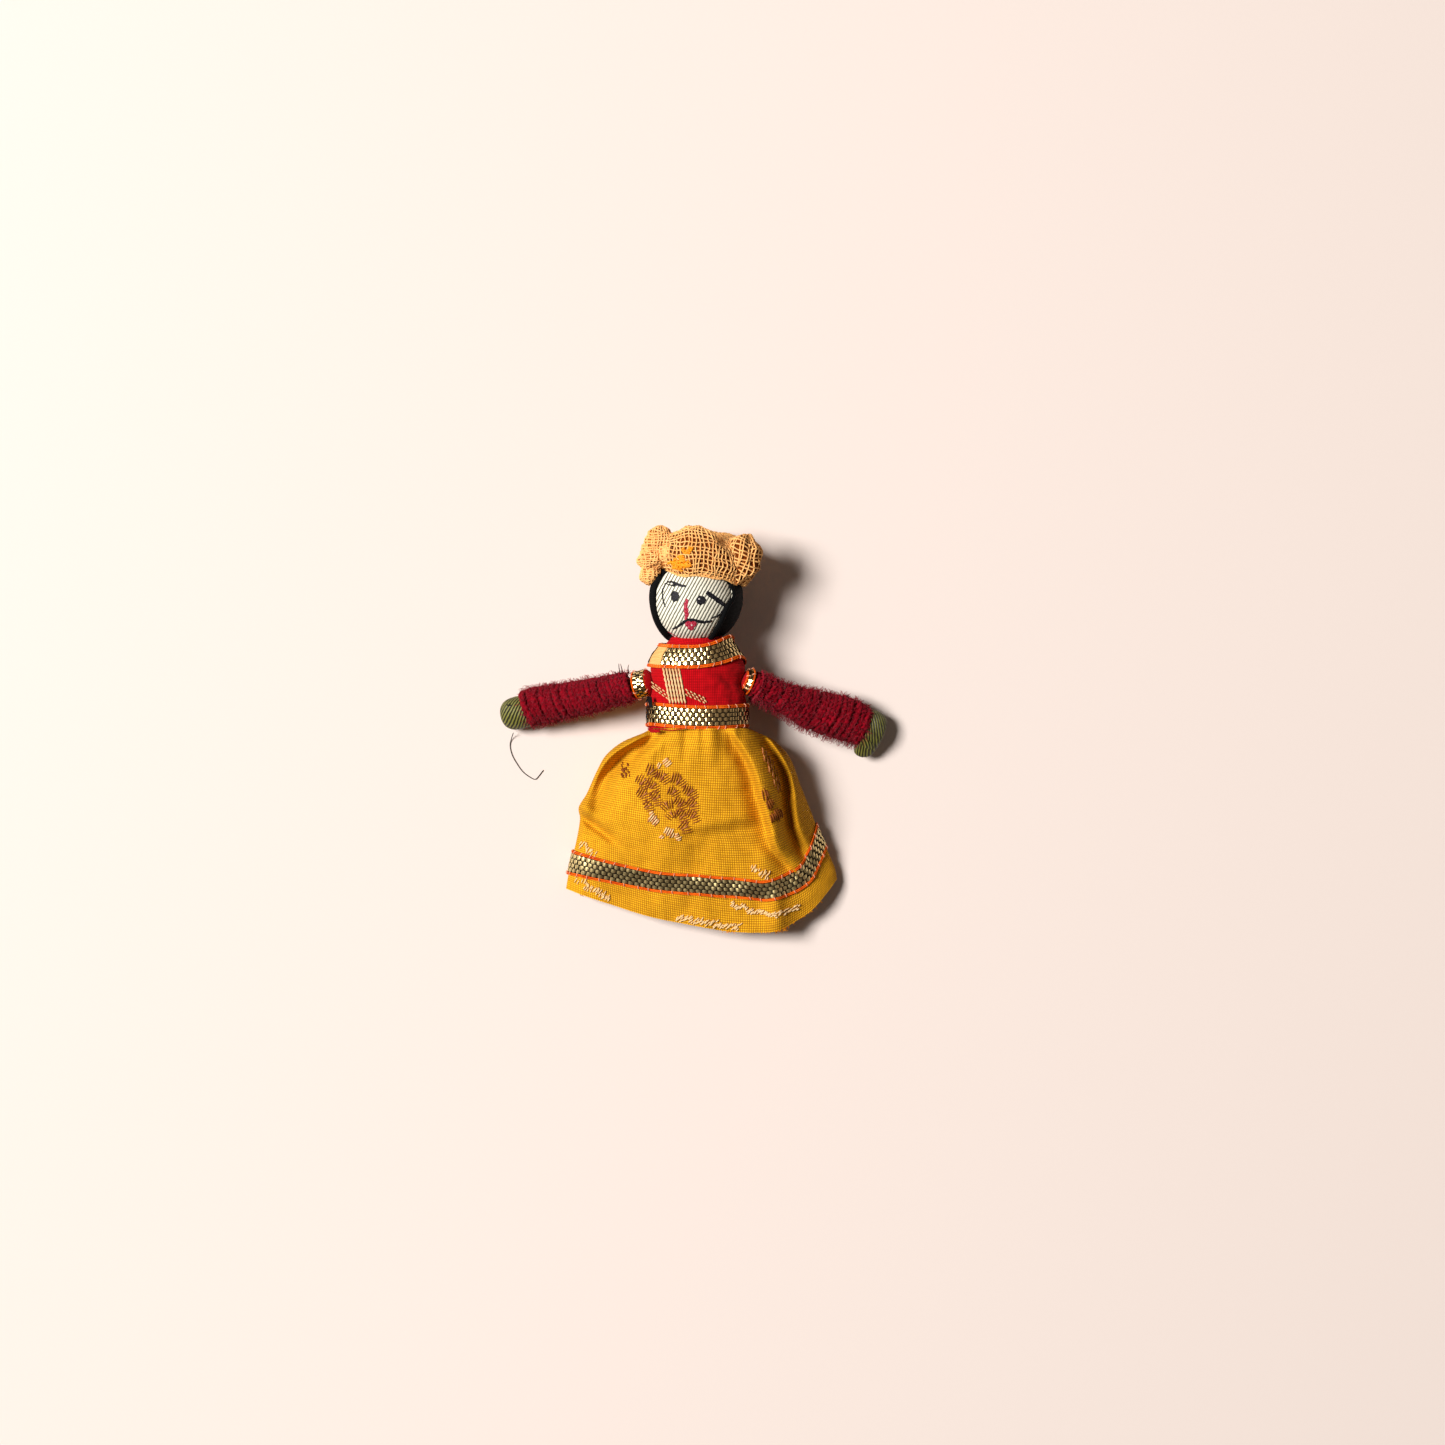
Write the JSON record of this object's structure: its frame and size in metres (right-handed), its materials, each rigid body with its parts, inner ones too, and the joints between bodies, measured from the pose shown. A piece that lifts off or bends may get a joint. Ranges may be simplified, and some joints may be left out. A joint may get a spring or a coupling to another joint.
{
  "type": "kathputli string puppet doll",
  "caption": "Small Rajasthani kathputli doll with a netted turban, wool-wound arms and a gathered yellow skirt, lying on its back.",
  "frame": {"origin": "middle of the doll's bounding box across and along, on the surface that it lies on", "axes": "+Y towards the top of the turban, +Z out of the doll's front, X across the shoulders with the arm called left at -X"},
  "size_m": [0.0984, 0.101, 0.0285],
  "materials": {
    "stick_wood": "bare split bamboo",
    "head_wood": "turned mango wood",
    "face_twill": "cream cotton twill with inked features",
    "hair_cloth": "black cotton poplin",
    "red_cloth": "red cotton with a cream woven motif",
    "gota_ribbon": "flattened gilt metal lace with orange edges",
    "padding": "rolled cotton rag",
    "turban_net": "peach cotton net over a brown layer",
    "turban_lining": "brown cotton",
    "fleck_floss": "yellow-orange floss",
    "wool": "dark red two-ply wool",
    "hand_ribbon": "olive ribbed ribbon",
    "sewing_thread": "black sewing thread",
    "gather_thread": "red gathering thread",
    "skirt_cotton": "golden-yellow cotton with brown brocade flowers",
    "lining_cotton": "undyed cotton muslin"
  },
  "bodies": {
    "trunk": {"core_stick": "stick_wood", "head_ball": "head_wood", "face_cloth": "face_twill", "hair_cloth": "hair_cloth", "neck_wrap": "red_cloth", "torso_roll": "padding", "bodice": "red_cloth", "collar_band": "gota_ribbon", "waist_band": "gota_ribbon", "turban_cap": "turban_lining", "turban_front_roll": "turban_net", "turban_right_roll": "turban_net", "turban_left_bunch": "turban_net", "turban_back_roll": "turban_net", "turban_flecks": "fleck_floss", "shoulder_thread_left": "sewing_thread", "shoulder_thread_right": "sewing_thread"},
    "knot_left": {"shoulder_knot_left": "wool"},
    "knot_right": {"shoulder_knot_right": "wool"},
    "arm_left": {"arm_core_left": "padding", "arm_wool_left": "wool", "sleeve_band_left": "gota_ribbon", "hand_left": "hand_ribbon"},
    "arm_right": {"arm_core_right": "padding", "arm_wool_right": "wool", "sleeve_band_right": "gota_ribbon", "hand_right": "hand_ribbon"},
    "gathers": {"gather_thread": "gather_thread"},
    "skirt": {"skirt": "skirt_cotton", "skirt_trim": "gota_ribbon", "skirt_lining": "lining_cotton"}
  },
  "joints": [
    {"name": "shoulder_left_forward", "type": "hinge", "parent": "trunk", "child": "knot_left", "pos_m": [-0.014, 0.0116, 0.014], "axis": [0, 1, 0], "range_deg": [-10, 70]},
    {"name": "shoulder_left_raise", "type": "hinge", "parent": "knot_left", "child": "arm_left", "pos_m": [-0.014, 0.0116, 0.014], "axis": [0, 0, -1], "range_deg": [-25, 60]},
    {"name": "shoulder_right_forward", "type": "hinge", "parent": "trunk", "child": "knot_right", "pos_m": [0.0148, 0.0116, 0.014], "axis": [0, -1, 0], "range_deg": [-10, 70]},
    {"name": "shoulder_right_raise", "type": "hinge", "parent": "knot_right", "child": "arm_right", "pos_m": [0.0148, 0.0116, 0.014], "axis": [0, 0, 1], "range_deg": [-20, 65]},
    {"name": "skirt_swing", "type": "hinge", "parent": "trunk", "child": "gathers", "pos_m": [0.0004, -0.0015, 0.014], "axis": [-1, 0, 0], "range_deg": [-10, 25]},
    {"name": "skirt_sway", "type": "hinge", "parent": "gathers", "child": "skirt", "pos_m": [0.0004, -0.0015, 0.014], "axis": [0, 0, 1], "range_deg": [-10, 10]}
  ]
}
